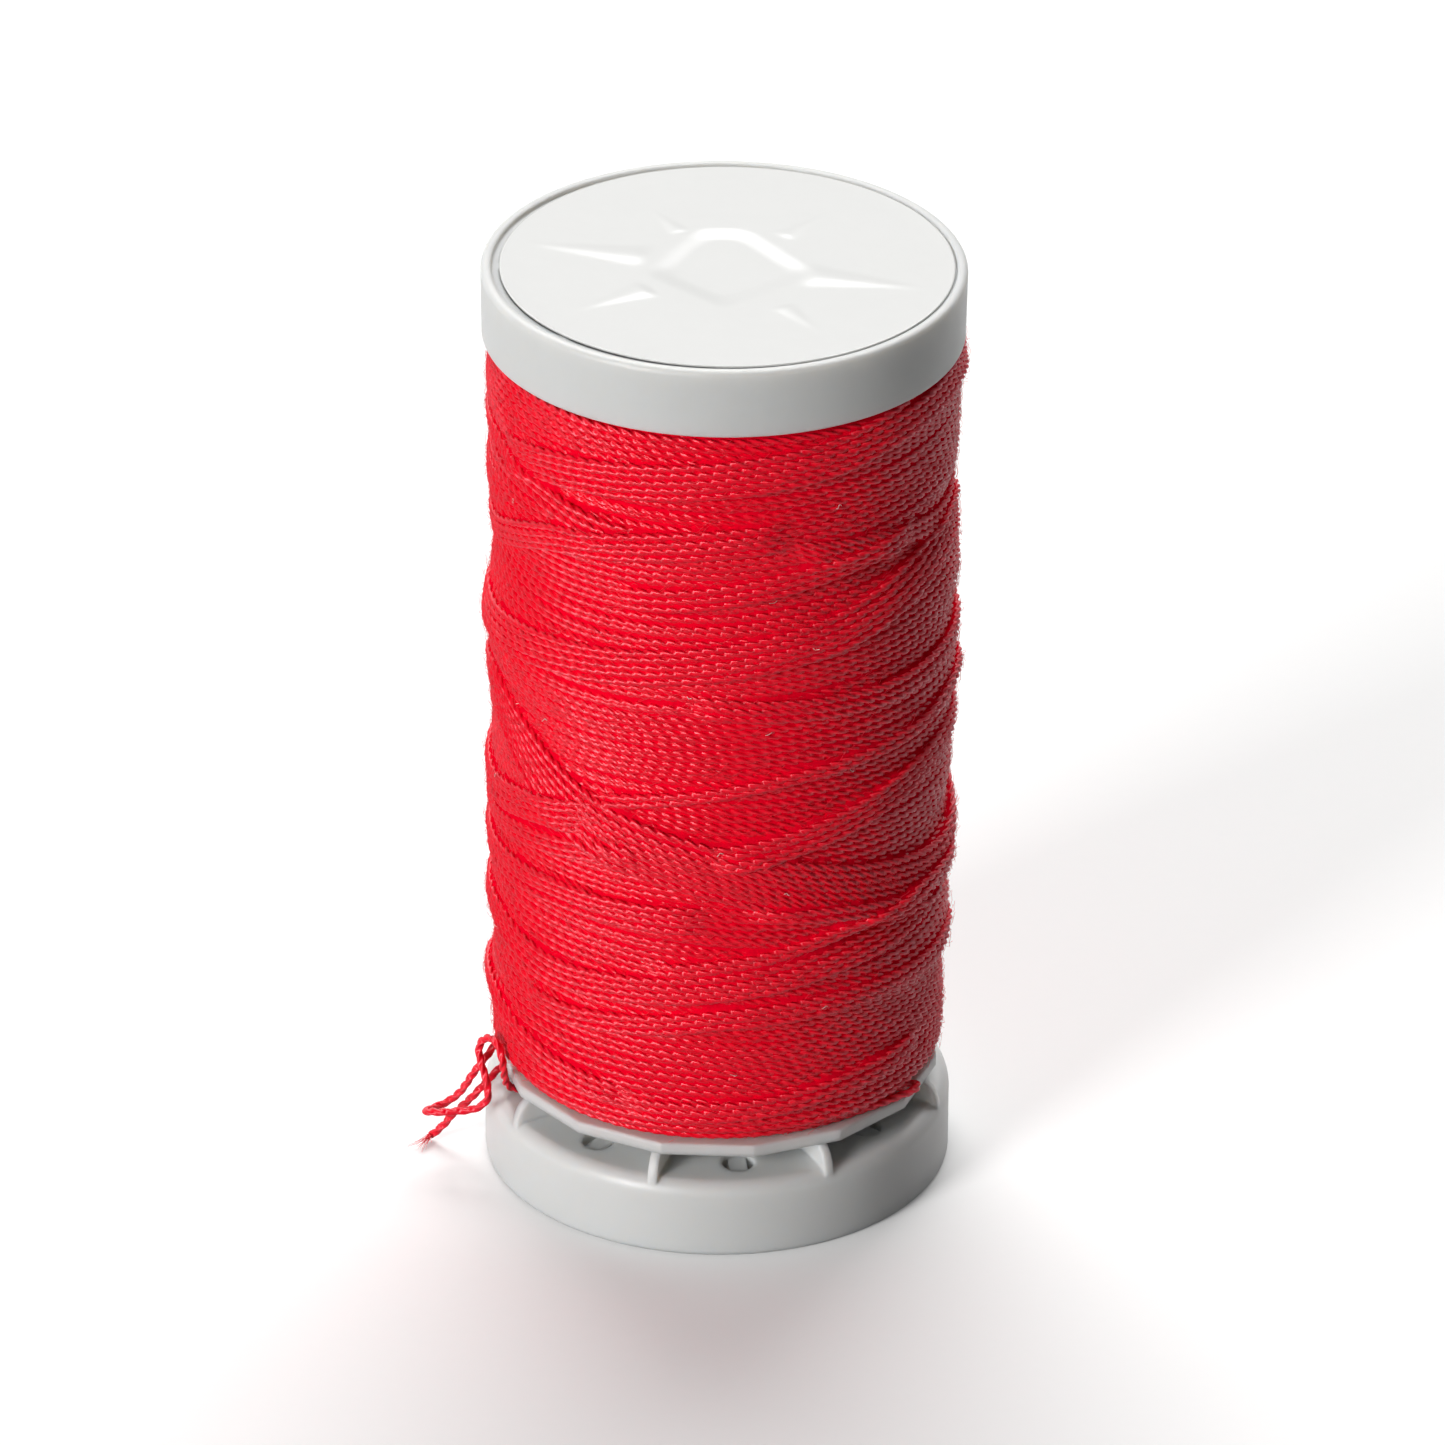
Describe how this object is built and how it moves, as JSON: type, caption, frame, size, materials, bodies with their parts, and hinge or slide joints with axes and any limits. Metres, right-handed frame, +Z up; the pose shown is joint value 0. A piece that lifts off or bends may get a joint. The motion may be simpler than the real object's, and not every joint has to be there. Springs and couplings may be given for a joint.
{
  "type": "spool of thread",
  "caption": "Thread spool: barrel with a round top flange and a straight-sided lower flange, wound with thread, on a ribbed locking base that slides to hold the thread's end.",
  "frame": {"origin": "centre of the locking base's flat foot, on the surface the spool stands on", "axes": "+Z up the spool's axis towards the labelled flange; the thread's free end leaves on the -X side"},
  "size_m": [0.0315, 0.028, 0.058],
  "materials": {
    "white_plastic": "satin moulded polystyrene",
    "label": "satin white sticker",
    "red_thread": "twisted polyester sewing thread"
  },
  "bodies": {
    "base": {"locking_base": "white_plastic"},
    "spool": {"spool_body": "white_plastic", "top_label": "label", "thread_package": "red_thread", "outer_turns": "red_thread", "thread_tail": "red_thread"}
  },
  "joints": [
    {"name": "lock_slide", "type": "slide", "parent": "base", "child": "spool", "axis": [0, 0, 1], "range_m": [0, 0.0024]}
  ]
}
